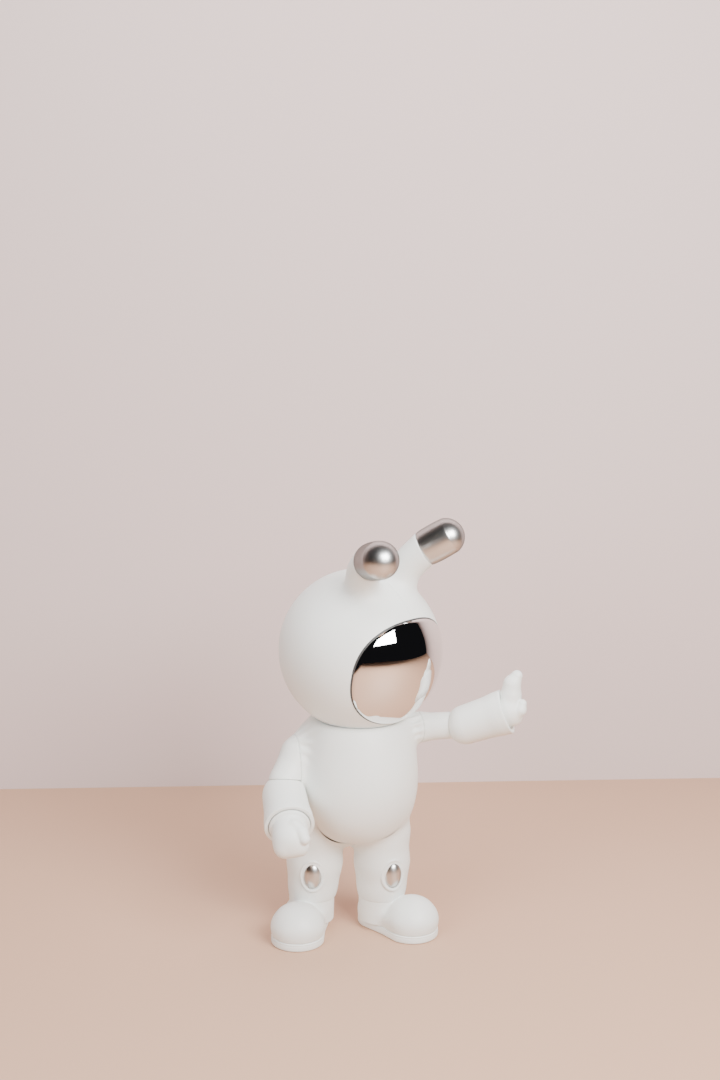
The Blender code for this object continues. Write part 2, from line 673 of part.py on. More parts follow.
def make_hand(side, cuff, sleeve_axis, parts, cutters):
    """A glove: a round stem in the cuff and, beyond it, a fist or an open palm."""
    stem_start = cuff - sleeve_axis * (CUFF_DEPTH - GAP)
    stem_r = GLOVE_R[side]
    hand = cylinder(f"hand_{side}", stem_r, CUFF_DEPTH + 0.006, WHITE, parts)
    hand.matrix_world = look_along(sleeve_axis, stem_start)
    if side == "right":
        fist_at = cuff + sleeve_axis * 0.030
        fist = sphere("fist", fist_at, 1.0, None, cutters, scale=FIST, segments=ROUND)
        thumb_at = fist_at + Vector((0.030, -0.008, 0.010))
        thumb = sphere("fist_thumb", thumb_at, 0.011, None, cutters, segments=SMALL)
        join(hand, fist, thumb)
    else:
        palm_at = cuff + sleeve_axis * 0.008
        up = Vector((0.10, -0.06, 1.0)).normalized()
        fingers = hull_of_balls(
            "fingers",
            (
                (palm_at + up * 0.004, 0.020, 0.020),
                (palm_at + up * 0.052, 0.016, 0.016),
                (palm_at + up * 0.068 + sleeve_axis * 0.010, 0.009, 0.009),
            ),
            None,
            cutters,
        )
        thumb_at = palm_at + Vector((0.006, -0.016, -0.010))
        thumb = sphere("thumb", thumb_at, 0.014, None, cutters, segments=SMALL)
        join(hand, fingers, thumb)
    peg_room = cylinder(f"hand_peg_room_{side}", PEG_R + GAP, PEG_LENGTH / 2 + GAP, None, cutters, SMALL)
    peg_room.matrix_world = look_along(sleeve_axis, stem_start - sleeve_axis * GAP)
    cut(hand, peg_room)


def centre_on_origin(collections):
    bpy.context.view_layer.update()
    for collection in collections:
        for obj in collection.objects:
            obj.matrix_world = Matrix.Translation(-BOX_CENTRE) @ obj.matrix_world


def main():
    clear_scene()
    parts = new_collection("astronaut_statue")
    cutters = new_collection("cutters")
    make_head(parts, cutters)
    torso, torso_cutter = make_torso(parts, cutters)
    for side in SIDES:
        ankle_cutters = make_leg(side, torso_cutter, parts, cutters)
        make_boot(side, ankle_cutters, parts, cutters)
        make_arm(side, torso, torso_cutter, parts, cutters)
    centre_on_origin((parts, cutters))


main()
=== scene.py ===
"""The finished look of a standing astronaut statue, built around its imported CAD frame.

Most forms are signed distance fields, blended smoothly and meshed here. Positions are in
metres from the neck axis, and move to the frame's own place through NECK.
"""

import math

import bmesh
import bpy
import numpy as np
from mathutils import Matrix, Vector


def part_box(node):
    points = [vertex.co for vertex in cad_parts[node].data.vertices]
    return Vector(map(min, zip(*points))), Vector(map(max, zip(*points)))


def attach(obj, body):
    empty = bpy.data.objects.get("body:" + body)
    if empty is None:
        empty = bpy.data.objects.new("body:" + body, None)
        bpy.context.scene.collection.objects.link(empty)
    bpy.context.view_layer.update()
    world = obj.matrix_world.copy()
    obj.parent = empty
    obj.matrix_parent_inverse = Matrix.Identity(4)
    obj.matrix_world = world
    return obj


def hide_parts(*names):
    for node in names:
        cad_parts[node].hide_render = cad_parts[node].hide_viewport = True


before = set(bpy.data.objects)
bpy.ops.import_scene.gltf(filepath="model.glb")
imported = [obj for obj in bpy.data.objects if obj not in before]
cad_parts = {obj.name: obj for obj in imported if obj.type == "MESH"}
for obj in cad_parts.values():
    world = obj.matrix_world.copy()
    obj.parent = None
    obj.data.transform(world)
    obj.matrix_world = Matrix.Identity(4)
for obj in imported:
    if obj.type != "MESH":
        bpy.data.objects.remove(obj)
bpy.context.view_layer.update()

peg_low, peg_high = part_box("neck_peg")
NECK = Vector(((peg_low[0] + peg_high[0]) / 2, (peg_low[1] + peg_high[1]) / 2, 0.0))

HELMET_R = 0.160
HELMET_Z = 0.572
HEAD_YAW = math.radians(28)
VISOR_PITCH = math.radians(14)
VISOR_HALF = (0.1245, 0.1070)
VISOR_RISE = 0.0056
VISOR_POWER = 2.15  # 2 is an ellipse, more is squarer
VISOR_PROUD = 0.0024  # the lens stands this far out of the helmet
LENS_GAP = 0.0006
LENS_EDGE = (  # (inset, drop) from the lens's rim to its dome
    (0.0, 0.0052), (0.0, 0.0030), (0.0004, 0.0016), (0.0011, 0.0007), (0.0020, 0.0002), (0.0032, 0.0),
)
GASKET_EDGE = (  # (grow, rise) across the gasket's section
    (-0.0100, -0.004), (-0.0100, 0.0006), (0.0002, 0.0006),
    (0.0010, 0.0004), (0.0014, -0.0010), (0.0, -0.004),
)
OPENING_INSET = 0.005  # the helmet's hole is this much smaller than the visor
HALF_GAP = 0.00028  # half the hairline between the helmet's two halves

COARSE = 1.0


# ---------------------------------------------------------------- fields


def vec(*numbers):
    return np.array(numbers, dtype=float)


def unit(vector):
    vector = np.asarray(vector, dtype=float)
    return vector / np.linalg.norm(vector)


def blend(first, second, reach):
    """Smooth union of two distance fields."""
    near = np.maximum(reach - np.abs(first - second), 0.0) / reach
    return np.minimum(first, second) - near**3 * reach / 6


def carve(first, second, reach):
    """Smooth difference: the second field taken out of the first."""
    return -blend(-first, second, reach)


def meet(first, second, reach):
    """Smooth intersection: what lies in both fields."""
    return -blend(-first, -second, reach)


def ball(points, centre, radius):
    return np.linalg.norm(points - centre, axis=-1) - radius


def egg(points, centre, half, turn=None):
    """An ellipsoid; turn's rows are its axes."""
    local = points - centre
    if turn is not None:
        local = local @ np.asarray(turn).T
    scaled = np.linalg.norm(local / half, axis=-1)
    steep = np.linalg.norm(local / np.square(half), axis=-1)
    return scaled * (scaled - 1.0) / np.maximum(steep, 1e-9)


def rod(points, start, end, start_r, end_r):
    """A rod with round ends whose radius changes along it."""
    start, end = np.asarray(start, float), np.asarray(end, float)
    along = end - start
    share = np.clip((points - start) @ along / (along @ along), 0.0, 1.0)
    near = start + share[..., None] * along
    return np.linalg.norm(points - near, axis=-1) - (start_r + (end_r - start_r) * share)


def chain(points, stations, radii, reach):
    """Rods from station to station, blended into one limb."""
    field = None
    for a, b, ra, rb in zip(stations, stations[1:], radii, radii[1:]):
        part = rod(points, a, b, ra, rb)
        field = part if field is None else blend(field, part, reach)
    return field


def beyond(points, place, direction):
    """Positive on the side of a plane that direction points to."""
    return (points - place) @ unit(direction)


def ring_groove(points, centre, axis, radius, width):
    """Distance to a circle, less width: carved out, it leaves a groove."""
    local = points - centre
    high = local @ unit(axis)
    flat = np.linalg.norm(local - high[..., None] * unit(axis), axis=-1)
    return np.hypot(high, flat - radius) - width


def spline(knots, count):
    """Catmull-Rom points through the knots."""
    knots = np.asarray(knots, float)
    padded = np.vstack([2 * knots[0] - knots[1], knots, 2 * knots[-1] - knots[-2]])
    found = []
    for i in range(1, len(padded) - 2):
        a, b, c, d = padded[i - 1 : i + 3]
        for t in np.linspace(0, 1, count, endpoint=False):
            squared = (2 * a - 5 * b + 4 * c - d) * t**2
            cubed = (3 * b - a - 3 * c + d) * t**3
            found.append(0.5 * (2 * b + (c - a) * t + squared + cubed))
    found.append(knots[-1])
    return np.array(found)


class Lathe:
    """The distance field of a turned profile of (radius, height), as a table."""

    def __init__(self, knots, step=0.0015, margin=0.04):
        line = spline(knots, 12)
        self.step = step
        self.low = vec(0.0, line[:, 1].min() - margin)
        high = vec(line[:, 0].max() + margin, line[:, 1].max() + margin)
        counts = np.ceil((high - self.low) / step).astype(int) + 1
        radius = self.low[0] + step * np.arange(counts[0])
        height = self.low[1] + step * np.arange(counts[1])
        where = np.stack(np.meshgrid(radius, height, indexing="ij"), -1)
        nearest = np.full(where.shape[:2], 1e9)
        for a, b in zip(line, line[1:]):
            along = b - a
            share = np.clip((where - a) @ along / max(along @ along, 1e-12), 0, 1)
            gap = np.linalg.norm(where - a - share[..., None] * along, axis=-1)
            nearest = np.minimum(nearest, gap)
        order = np.argsort(line[:, 1])
        edge = np.interp(height, line[order, 1], line[order, 0], left=0.0, right=0.0)
        inside = radius[:, None] < edge[None, :]
        self.table = np.where(inside, -nearest, nearest)

    def __call__(self, radius, height):
        at = np.stack([radius - self.low[0], height - self.low[1]], -1) / self.step
        limit = np.array(self.table.shape) - 1.001
        inner = np.clip(at, 0, limit)
        beyond_table = np.linalg.norm((at - inner) * self.step, axis=-1)
        cell = inner.astype(int)
        share = inner - cell
        i, j = cell[..., 0], cell[..., 1]
        s, t = share[..., 0], share[..., 1]
        table = self.table
        value = (table[i, j] * (1 - s) + table[i + 1, j] * s) * (1 - t)
        value += (table[i, j + 1] * (1 - s) + table[i + 1, j + 1] * s) * t
        return value + beyond_table


# ---------------------------------------------------------------- meshing


def settle(field, points, reach):
    """Moves points onto the field's surface."""
    step = 0.0002

    def slope_along(axis):
        return (field(points + step * axis) - field(points - step * axis)) / (2 * step)

    for _ in range(4):
        value = field(points)
        slope = np.stack([slope_along(axis) for axis in np.eye(3)], -1)
        move = value[:, None] * slope / np.maximum((slope**2).sum(-1, keepdims=True), 0.05)
        points = points - np.clip(move, -reach, reach)
    return points


def net(field, low, high, cell):
    """Surface nets: quads around each grid edge that the field crosses."""
    low, high = np.asarray(low, float), np.asarray(high, float)
    cell *= COARSE
    counts = np.ceil((high - low) / cell).astype(int) + 1
    axes = [low[k] + cell * np.arange(counts[k]) for k in range(3)]
    value = np.empty(counts, dtype=np.float64)
    for i, x in enumerate(axes[0]):
        plane = np.stack(np.meshgrid([x], axes[1], axes[2], indexing="ij"), -1)[0]
        value[i] = field(plane.reshape(-1, 3)).reshape(counts[1], counts[2])
    inside = value < 0
    corners = [(a, b, c) for a in (0, 1) for b in (0, 1) for c in (0, 1)]
    n = counts - 1
    held = sum(inside[a : a + n[0], b : b + n[1], c : c + n[2]].astype(np.int8) for a, b, c in corners)
    mixed = (held > 0) & (held < 8)
    cells = np.argwhere(mixed)
    index = np.full(n, -1, dtype=np.int64)
    index[tuple(cells.T)] = np.arange(len(cells))
    total = np.zeros((len(cells), 3))
    hits = np.zeros(len(cells))
    for axis in range(3):
        others = [k for k in range(3) if k != axis]
        for u in (0, 1):
            for v in (0, 1):
                start = np.zeros(3, int)
                start[others[0]], start[others[1]] = u, v
                stop = start.copy()
                stop[axis] = 1
                first = value[tuple((cells + start).T)]
                second = value[tuple((cells + stop).T)]
                crossed = (first < 0) != (second < 0)
                share = np.where(crossed, first / np.where(crossed, first - second, 1.0), 0.0)
                spot = start[None, :] + share[:, None] * (stop - start)[None, :]
                total[crossed] += spot[crossed]
                hits[crossed] += 1
    points = low + cell * (cells + total / np.maximum(hits, 1)[:, None])
    faces = []
    for axis in range(3):
        b, c = [k for k in range(3) if k != axis]
        near = [slice(None)] * 3
        far = [slice(None)] * 3
        near[axis], far[axis] = slice(0, -1), slice(1, None)
        edge_in, edge_out = inside[tuple(near)], inside[tuple(far)]
        found = np.argwhere(edge_in != edge_out)
        past_start = (found[:, b] > 0) & (found[:, c] > 0)
        before_end = (found[:, b] < counts[b] - 1) & (found[:, c] < counts[c] - 1)
        found = found[past_start & before_end]
        rising = edge_in[tuple(found.T)]
        quad = []
        for db, dc in ((1, 1), (0, 1), (0, 0), (1, 0)):
            at = found.copy()
            at[:, b] -= db
            at[:, c] -= dc
            quad.append(index[tuple(at.T)])
        quad = np.stack(quad, -1)
        forward = rising if axis != 1 else ~rising
        faces.append(np.where(forward[:, None], quad, quad[:, ::-1]))
    faces = np.concatenate(faces)
    return settle(field, points, cell * 0.5), faces


def mesh_object(name, points, faces, material, body):
    mesh = bpy.data.meshes.new(name)
    corners = [tuple(int(k) for k in face) for face in faces]
    mesh.from_pydata((np.asarray(points) + np.array(NECK)).tolist(), [], corners)
    mesh.validate()
    mesh.shade_smooth()
    mesh.materials.append(material)
    obj = bpy.data.objects.new(name, mesh)
    bpy.context.scene.collection.objects.link(obj)
    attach(obj, body)
    return obj


def sculpt(name, field, low, high, cell, material, body, slot, replaces):
    """A piece meshed from a field, which stands for the CAD nodes in replaces."""
    points, faces = net(field, low, high, cell)
    obj = mesh_object(name, points, faces, material, body)
    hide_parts(*replaces)


def quads(rows, count, wrap=False):
    """Faces between rings of count points; wrap joins the last ring to the first."""
    faces = []
    for row in range(rows if wrap else rows - 1):
        here, there = row * count, (row + 1) % rows * count
        for k in range(count):
            after = (k + 1) % count
            faces.append((here + k, here + after, there + after, there + k))
    return faces


def weld(obj, gap):
    """Merges doubled points, such as a pole's ring, and turns the faces outwards."""
    bm = bmesh.new()
    bm.from_mesh(obj.data)
    bmesh.ops.remove_doubles(bm, verts=bm.verts, dist=gap)
    bmesh.ops.recalc_face_normals(bm, faces=bm.faces)
    bm.to_mesh(obj.data)
    bm.free()
    obj.data.shade_smooth()


# ---------------------------------------------------------------- materials


def new_material(name, colour, roughness, metallic=0.0):
    made = bpy.data.materials.new(name)
    made.use_nodes = True
    shader = made.node_tree.nodes["Principled BSDF"]
    shader.inputs["Base Color"].default_value = (*colour, 1.0)
    shader.inputs["Roughness"].default_value = roughness
    shader.inputs["Metallic"].default_value = metallic
    return made, shader


def object_noise(made, scale, detail, stretch=(1, 1, 1)):
    nodes, links = made.node_tree.nodes, made.node_tree.links
    where = nodes.new("ShaderNodeTexCoord")
    mapping = nodes.new("ShaderNodeMapping")
    mapping.inputs["Scale"].default_value = stretch
    noise = nodes.new("ShaderNodeTexNoise")
    noise.inputs["Scale"].default_value = scale
    noise.inputs["Detail"].default_value = detail
    links.new(where.outputs["Object"], mapping.inputs["Vector"])
    links.new(mapping.outputs["Vector"], noise.inputs["Vector"])
    return noise


def ramp(made, source, stops):
    node = made.node_tree.nodes.new("ShaderNodeValToRGB")
    for element, (place, colour) in zip(node.color_ramp.elements, stops):
        element.position = place
        element.color = (*colour, 1.0)
    made.node_tree.links.new(source, node.inputs["Fac"])
    return node


def spread(made, source, low, high):
    node = made.node_tree.nodes.new("ShaderNodeMapRange")
    node.inputs["To Min"].default_value = low
    node.inputs["To Max"].default_value = high
    made.node_tree.links.new(source, node.inputs["Value"])
    return node.outputs["Result"]


def bump(made, shader, source, strength, distance):
    node = made.node_tree.nodes.new("ShaderNodeBump")
    node.inputs["Strength"].default_value = strength
    node.inputs["Distance"].default_value = distance
    made.node_tree.links.new(source, node.inputs["Height"])
    made.node_tree.links.new(node.outputs["Normal"], shader.inputs["Normal"])


def white_coat(name, colour, roughness):
    """Sprayed matte white on cast resin: faint clouding, fine orange peel."""
    made, shader = new_material(name, colour, roughness)
    links = made.node_tree.links
    cloud = object_noise(made, 9.0, 3.0)
    darker = tuple(c * 0.975 for c in colour)
    tint = ramp(made, cloud.outputs["Fac"], ((0.35, darker), (0.65, colour)))
    links.new(tint.outputs["Color"], shader.inputs["Base Color"])
    grain = object_noise(made, 420.0, 2.0)
    rough = spread(made, cloud.outputs["Fac"], roughness - 0.06, roughness + 0.06)
    links.new(rough, shader.inputs["Roughness"])
    bump(made, shader, grain.outputs["Fac"], 0.10, 0.0004)
    shader.inputs["Subsurface Weight"].default_value = 0.06
    shader.inputs["Subsurface Radius"].default_value = (0.01, 0.008, 0.006)
    return made


def satin_silver():
    made, shader = new_material("satin_silver", (0.68, 0.68, 0.675), 0.34, 1.0)
    shader.inputs["Specular Tint"].default_value = (0.22, 0.21, 0.20, 1.0)
    grain = object_noise(made, 900.0, 2.0)
    cloud = object_noise(made, 26.0, 3.0)
    rough = spread(made, cloud.outputs["Fac"], 0.28, 0.38)
    made.node_tree.links.new(rough, shader.inputs["Roughness"])
    bump(made, shader, grain.outputs["Fac"], 0.06, 0.0002)
    return made


def visor_mirror():
    made, shader = new_material("visor_mirror", (0.86, 0.85, 0.85), 0.02, 1.0)
    wave = object_noise(made, 55.0, 2.0)
    bump(made, shader, wave.outputs["Fac"], 0.05, 0.0010)
    return made


WHITE = white_coat("white_coat", (0.865, 0.885, 0.86), 0.48)
TRIM = white_coat("white_trim", (0.855, 0.875, 0.85), 0.45)
SILVER = satin_silver()
MIRROR = visor_mirror()
GASKET, _ = new_material("visor_gasket", (0.05, 0.05, 0.05), 0.45)

# ---------------------------------------------------------------- head


CENTRE = vec(0, 0, HELMET_Z)
ANTENNA = {  # (right, away, up) of the quarter view: four stalk stations, then the cap's centre
    "right": (
        (0.009, -0.056, 0.667), (0.004, -0.075, 0.713), (0.007, -0.094, 0.746),
        (0.0206, -0.125, 0.7712), (0.0356, -0.175, 0.7832),
    ),
    "left": (
        (0.057, -0.008, 0.667), (0.077, -0.010, 0.708), (0.0915, -0.0115, 0.742),
        (0.1247, -0.0176, 0.7763), (0.1653, -0.0254, 0.8008),
    ),
}
STALK_ROOT_R, STALK_WAIST_R, STALK_TOP_R, STALK_END_R = 0.0315, 0.0305, 0.0330, 0.0335
STALK_WAIST = 0.45  # share of the stalk's length where it is thinnest
STALK_FLARE = 0.034  # reach of the blend into the helmet
CAP_R = 0.0365
SIDES = (("right", -1), ("left", 1))

QUARTER = math.radians(18)  # the quarter view, from straight ahead
VIEW_RIGHT = vec(math.cos(QUARTER), -math.sin(QUARTER), 0)
VIEW_AWAY = vec(math.sin(QUARTER), math.cos(QUARTER), 0)


def antenna_line(side):
    placed = [VIEW_RIGHT * a + VIEW_AWAY * b + vec(0, 0, c) for a, b, c in ANTENNA[side]]
    return placed[:-1], placed[-1]


def helmet_field(points):
    field = ball(points, CENTRE, HELMET_R)
    for side, _ in SIDES:
        line, tip = antenna_line(side)
        curve = spline(np.array(line), 3)
        shares = np.linspace(0, 1, len(curve))
        radii = np.interp(shares, [0, STALK_WAIST, 1], [STALK_ROOT_R, STALK_WAIST_R, STALK_TOP_R])
        axis = unit(tip - line[-1])
        curve = np.vstack([curve, line[-1] + axis * 0.02])
        radii = np.append(radii, STALK_END_R)
        stalk = chain(points, curve, radii, 0.006)
        stalk = np.maximum(stalk, beyond(points, line[-1], axis))
        field = blend(field, stalk, STALK_FLARE)
    return field


def visor_frame():
    """Origin, right, up and forward axes of the visor's outline."""
    yaw = Matrix.Rotation(HEAD_YAW, 3, "Z")
    down = Matrix.Rotation(math.radians(90) + VISOR_PITCH, 3, "X")
    turn = yaw @ down
    return [np.array(turn.col[k]) for k in range(3)]


def outline(count, grow):
    """The visor's rounded outline, grow metres outside its nominal size."""
    angle = 2 * np.pi * np.arange(count) / count
    across, upward = np.cos(angle), np.sin(angle)
    width = np.sign(across) * np.abs(across) ** (2 / VISOR_POWER) * (VISOR_HALF[0] + grow)
    height = np.sign(upward) * np.abs(upward) ** (2 / VISOR_POWER) * (VISOR_HALF[1] + grow)
    return width, height + VISOR_RISE


def on_dome(width, height, radius):
    right, up, forward = visor_frame()
    depth = np.sqrt(np.maximum(radius**2 - width**2 - height**2, 0.0))
    return CENTRE + width[..., None] * right + height[..., None] * up + depth[..., None] * forward


def dome_patch(name, material, rows, count, closed):
    """A patch of concentric rings; each row is (widths, heights, radius of the dome)."""
    points = np.concatenate([on_dome(*row) for row in rows])
    faces = quads(len(rows), count)
    if closed:
        last = (len(rows) - 1) * count
        points = np.vstack([points, on_dome(vec(0.0), vec(VISOR_RISE), rows[-1][2])])
        centre = len(points) - 1
        for k in range(count):
            faces.append((last + k, last + (k + 1) % count, centre))
    return mesh_object(name, points, faces, material, "head")


def build_visor():
    """The mirror lens, with a rounded edge, and the dark gasket around it."""
    count = 240
    lens_r = HELMET_R + VISOR_PROUD
    rows = []
    for inset, drop in LENS_EDGE:
        width, height = outline(count, -LENS_GAP - inset)
        rows.append((width, height, lens_r - drop))
    edge_w, edge_h = outline(count, -LENS_GAP - LENS_EDGE[-1][0])
    for share in np.linspace(0.985, 0.02, 40):
        rows.append((edge_w * share, (edge_h - VISOR_RISE) * share + VISOR_RISE, lens_r))
    visor = dome_patch("visor_lens", MIRROR, rows, count, True)
    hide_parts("visor")
    rows = []
    for grow, rise in GASKET_EDGE:
        width, height = outline(count, grow)
        rows.append((width, height, HELMET_R + rise))
    gasket = dome_patch("visor_gasket", GASKET, rows[::-1], count, False)
    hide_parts("visor_ring")


def build_helmet():
    """One net of the whole helmet, opened under the visor and parted on the middle plane."""
    reach = HELMET_R + 0.008
    low = CENTRE - vec(reach, reach + 0.04, reach)
    high = CENTRE + vec(reach, reach, 0.245)
    points, faces = net(helmet_field, low, high, 0.0026)
    right, up, forward = visor_frame()
    local = points - CENTRE
    width, height, depth = local @ right, local @ up - VISOR_RISE, local @ forward
    half_width, half_height = VISOR_HALF[0] - OPENING_INSET, VISOR_HALF[1] - OPENING_INSET
    inside = np.abs(width / half_width) ** VISOR_POWER + np.abs(height / half_height) ** VISOR_POWER
    open_point = (inside < 1) & (depth > 0)
    faces = faces[~open_point[faces].any(axis=1)]
    middle = Matrix.Rotation(HEAD_YAW, 3, "Z") @ Vector((1, 0, 0))
    for side, sign in SIDES:
        half = mesh_object(f"helmet_{side}", points, faces, WHITE, "head")
        bm = bmesh.new()
        bm.from_mesh(half.data)
        centre = NECK + Vector((0, 0, HELMET_Z))
        place = centre + middle * sign * HALF_GAP
        cut = bmesh.ops.bisect_plane(
            bm, geom=[*bm.verts, *bm.edges, *bm.faces],
            plane_co=place, plane_no=middle * sign, clear_inner=True,
        )
        rim = [e for e in cut["geom_cut"] if isinstance(e, bmesh.types.BMEdge)]
        turned_in = bmesh.ops.extrude_edge_only(bm, edges=rim)
        for item in turned_in["geom"]:
            if isinstance(item, bmesh.types.BMVert):
                item.co += (centre - item.co).normalized() * 0.004
        loose = [v for v in bm.verts if not v.link_faces]
        bmesh.ops.delete(bm, geom=loose, context="VERTS")
        bm.to_mesh(half.data)
        bm.free()
        half.data.shade_smooth()
        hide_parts(f"helmet_shell_{side}")


def lathe_object(name, knots, place, direction, material, body, replaces):
    """A turned surface from (radius, height) knots, its axis along direction."""
    steps, dense = 96, 8
    line = spline(knots, dense)
    forward = unit(direction)
    side = unit(np.cross(forward, vec(0.3, 0.2, 1.0)))
    other = np.cross(forward, side)
    angle = 2 * np.pi * np.arange(steps) / steps
    rings = []
    for radius, height in line:
        ring = np.outer(np.cos(angle), side) + np.outer(np.sin(angle), other)
        rings.append(place + forward * height + ring * max(radius, 1e-5))
    points = np.concatenate(rings)
    obj = mesh_object(name, points, quads(len(line), steps), material, body)
    weld(obj, 0.00004)
    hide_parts(*replaces)


def build_caps():
    for side, _ in SIDES:
        line, tip = antenna_line(side)
        axis = tip - line[-1]
        length = float(np.linalg.norm(axis))
        knots = [
            (0.0290, 0.0012), (0.0330, 0.0004), (0.0345, 0.0010),
            (0.0356, 0.0060), (CAP_R, 0.0200), (CAP_R, length * 0.8),
        ]
        for a in np.radians(np.linspace(12, 90, 9)):
            knots.append((CAP_R * math.cos(a), length + CAP_R * math.sin(a)))
        lathe_object(
            f"antenna_dome_{side}", knots, line[-1], axis,
            SILVER, "head", [f"antenna_cap_{side}"],
        )


# ---------------------------------------------------------------- torso and arms

TORSO_X, TORSO_Y = -0.006, -0.004
TORSO = Lathe(
    (
        (0.0, 0.438), (0.050, 0.4375), (0.0900, 0.4360), (0.1010, 0.4270), (0.1085, 0.4080),
        (0.1135, 0.3800), (0.1160, 0.350), (0.1165, 0.315), (0.1140, 0.278), (0.1060, 0.244),
        (0.0900, 0.216), (0.0650, 0.196), (0.0340, 0.187), (0.0, 0.185),
    )
)
SHOULDER = {"right": vec(-0.133, 0.004, 0.384), "left": vec(0.116, -0.022, 0.409)}
ELBOW = {"right": vec(-0.161, -0.020, 0.326), "left": vec(0.176, -0.058, 0.418)}
CUFF = {"right": vec(-0.177, -0.112, 0.268), "left": vec(0.2660, -0.1135, 0.4535)}
ARM_R = {"right": 0.0320, "left": 0.0290}
BULB_R = {"right": 0.0440, "left": 0.0400}
SLEEVE_END_R = {"right": 0.0460, "left": 0.0425}
OUT = {"right": vec(-1, 0, 0), "left": vec(1, 0, 0)}
SHOULDER_BLEND = {"right": 0.030, "left": 0.024}
SEAM = 0.00010  # half the gap at a parting line
TORSO_TOP, TORSO_FOOT = 0.4285, 0.185
TORSO_FLAT = 0.97  # the torso's depth as a share of its width
BELLY_FORWARD = 0.010
GATHER_HEIGHT, GATHER_WIDTH = 0.0034, 0.014


def arm_axes(side):
    """The upper arm's direction, the forearm's, and the centre of the sleeve's round end."""
    middle = SHOULDER[side] + OUT[side] * ARM_R[side] * 0.6
    upper = unit(ELBOW[side] - middle)
    bulb = ELBOW[side] + upper * BULB_R[side] * 0.66
    return upper, unit(CUFF[side] - bulb), bulb


def egg_torso(points):
    """The torso's turned egg, with its belly a little forward."""
    share = np.clip((TORSO_TOP - points[:, 2]) / (TORSO_TOP - TORSO_FOOT), 0, 1)
    forward = BELLY_FORWARD * np.sin(share * np.pi) ** 2
    x = points[:, 0] - TORSO_X
    y = (points[:, 1] - TORSO_Y + forward) / TORSO_FLAT
    return TORSO(np.hypot(x, y), points[:, 2])


def shoulder_right(points):
    """The hanging arm's shoulder: a broad cap that slopes into the upper arm."""
    bend = vec(-0.127, 0.001, 0.372)
    cap = rod(points, vec(-0.094, 0.004, 0.392), bend, 0.036, 0.0315)
    down = rod(points, bend, ELBOW["right"] + vec(0.001, 0, 0), 0.0315, 0.0322)
    return gathers(points, blend(cap, down, 0.02), "right")


def shoulder_left(points):
    """The raised arm's shoulder: it runs straight out to the elbow."""
    seam = SHOULDER["left"]
    cap = rod(points, vec(0.080, -0.012, 0.404), seam, 0.032, 0.0275)
    out = rod(points, seam, ELBOW["left"], 0.0275, 0.0265)
    return gathers(points, blend(cap, out, 0.02), "left")


def gathers(points, field, side):
    """Cloth gathered at the armhole: ridges that fan out over the shoulder's inner side."""
    local = points - (SHOULDER[side] - OUT[side] * 0.014)
    inward = local @ -OUT[side]
    bearing = np.arctan2(local[:, 1], local[:, 2])
    near = np.exp(-((inward - 0.004) / GATHER_WIDTH) ** 2)
    front = np.exp(-((np.abs(bearing) - 1.1) / 0.85) ** 2)
    ridge = np.cos(bearing * 12.0 + inward * 90.0)
    return field - GATHER_HEIGHT * near * front * ridge


SHOULDER_FORM = {"right": shoulder_right, "left": shoulder_left}


def torso_field(points):
    """The torso with both shoulders, cut at the armholes and hollowed for the helmet."""
    field = egg_torso(points)
    for side, _ in SIDES:
        field = blend(field, SHOULDER_FORM[side](points), SHOULDER_BLEND[side])
    for side, _ in SIDES:
        field = np.maximum(field, beyond(points, SHOULDER[side] - OUT[side] * SEAM, OUT[side]))
    return carve(field, ball(points, CENTRE, HELMET_R + 0.0003), 0.0012)


def upper_arm_field(side):
    """The same shape as at the armhole, from its seam to the elbow's."""
    upper, _, _ = arm_axes(side)

    def field(points):
        arm = blend(egg_torso(points), SHOULDER_FORM[side](points), SHOULDER_BLEND[side])
        arm = np.maximum(arm, beyond(points, SHOULDER[side] + OUT[side] * SEAM, -OUT[side]))
        return np.maximum(arm, beyond(points, ELBOW[side] - upper * SEAM, upper))

    return field


def sleeve_field(side):
    """A bell sleeve: round at the elbow, flared and recessed at the cuff."""
    upper, along, bulb = arm_axes(side)
    cuff, end_r, start_r = CUFF[side], SLEEVE_END_R[side], BULB_R[side]

    def field(points):
        bell = rod(points, bulb, cuff + along * 0.03, start_r * 0.97, end_r + 0.001)
        flare = rod(points, cuff - along * 0.012, cuff + along * 0.02, end_r - 0.0005, end_r + 0.0022)
        bell = blend(bell, flare, 0.012)
        bell = meet(bell, beyond(points, cuff, along), 0.0035)
        recess = np.maximum(
            rod(points, cuff - along * 0.01, cuff + along * 0.05, end_r - 0.0060, end_r - 0.0040),
            -beyond(points, cuff - along * 0.008, along),
        )
        bell = carve(bell, recess, 0.003)
        return meet(bell, beyond(points, ELBOW[side] + upper * SEAM, -upper), 0.003)

    return field


def seen(right, away, up):
    """An offset in millimetres along the figure's quarter view."""
    return (VIEW_RIGHT * right + VIEW_AWAY * away + vec(0, 0, 1) * up) / 1000


def hand_right_field(points):
    """The hanging hand: a fist with the thumb laid over it."""
    _, along, _ = arm_axes("right")
    cuff = CUFF["right"]
    start = cuff - along * 0.014
    wrist = rod(points, start, cuff + along * 0.008, 0.0365, 0.0340)
    hem = ring_groove(points, cuff + along * 0.001, along, 0.0345, 0.0050)
    fist = cuff + along * 0.028
    field = blend(wrist, egg(points, fist + seen(-1, 0, -3), vec(0.0350, 0.0345, 0.0335)), 0.010)
    field = blend(field, hem, 0.003)
    fingers = rod(points, fist + seen(-12, -12, -19), fist + seen(17, -12, -18), 0.0190, 0.0160)
    field = blend(field, fingers, 0.016)
    thumb = chain(
        points,
        [fist + seen(6, -4, 22), fist + seen(20, -16, 12), fist + seen(26, -24, 3)],
        [0.0130, 0.0125, 0.0105],
        0.006,
    )
    field = blend(field, thumb, 0.0045)
    return np.maximum(field, -beyond(points, start, along))


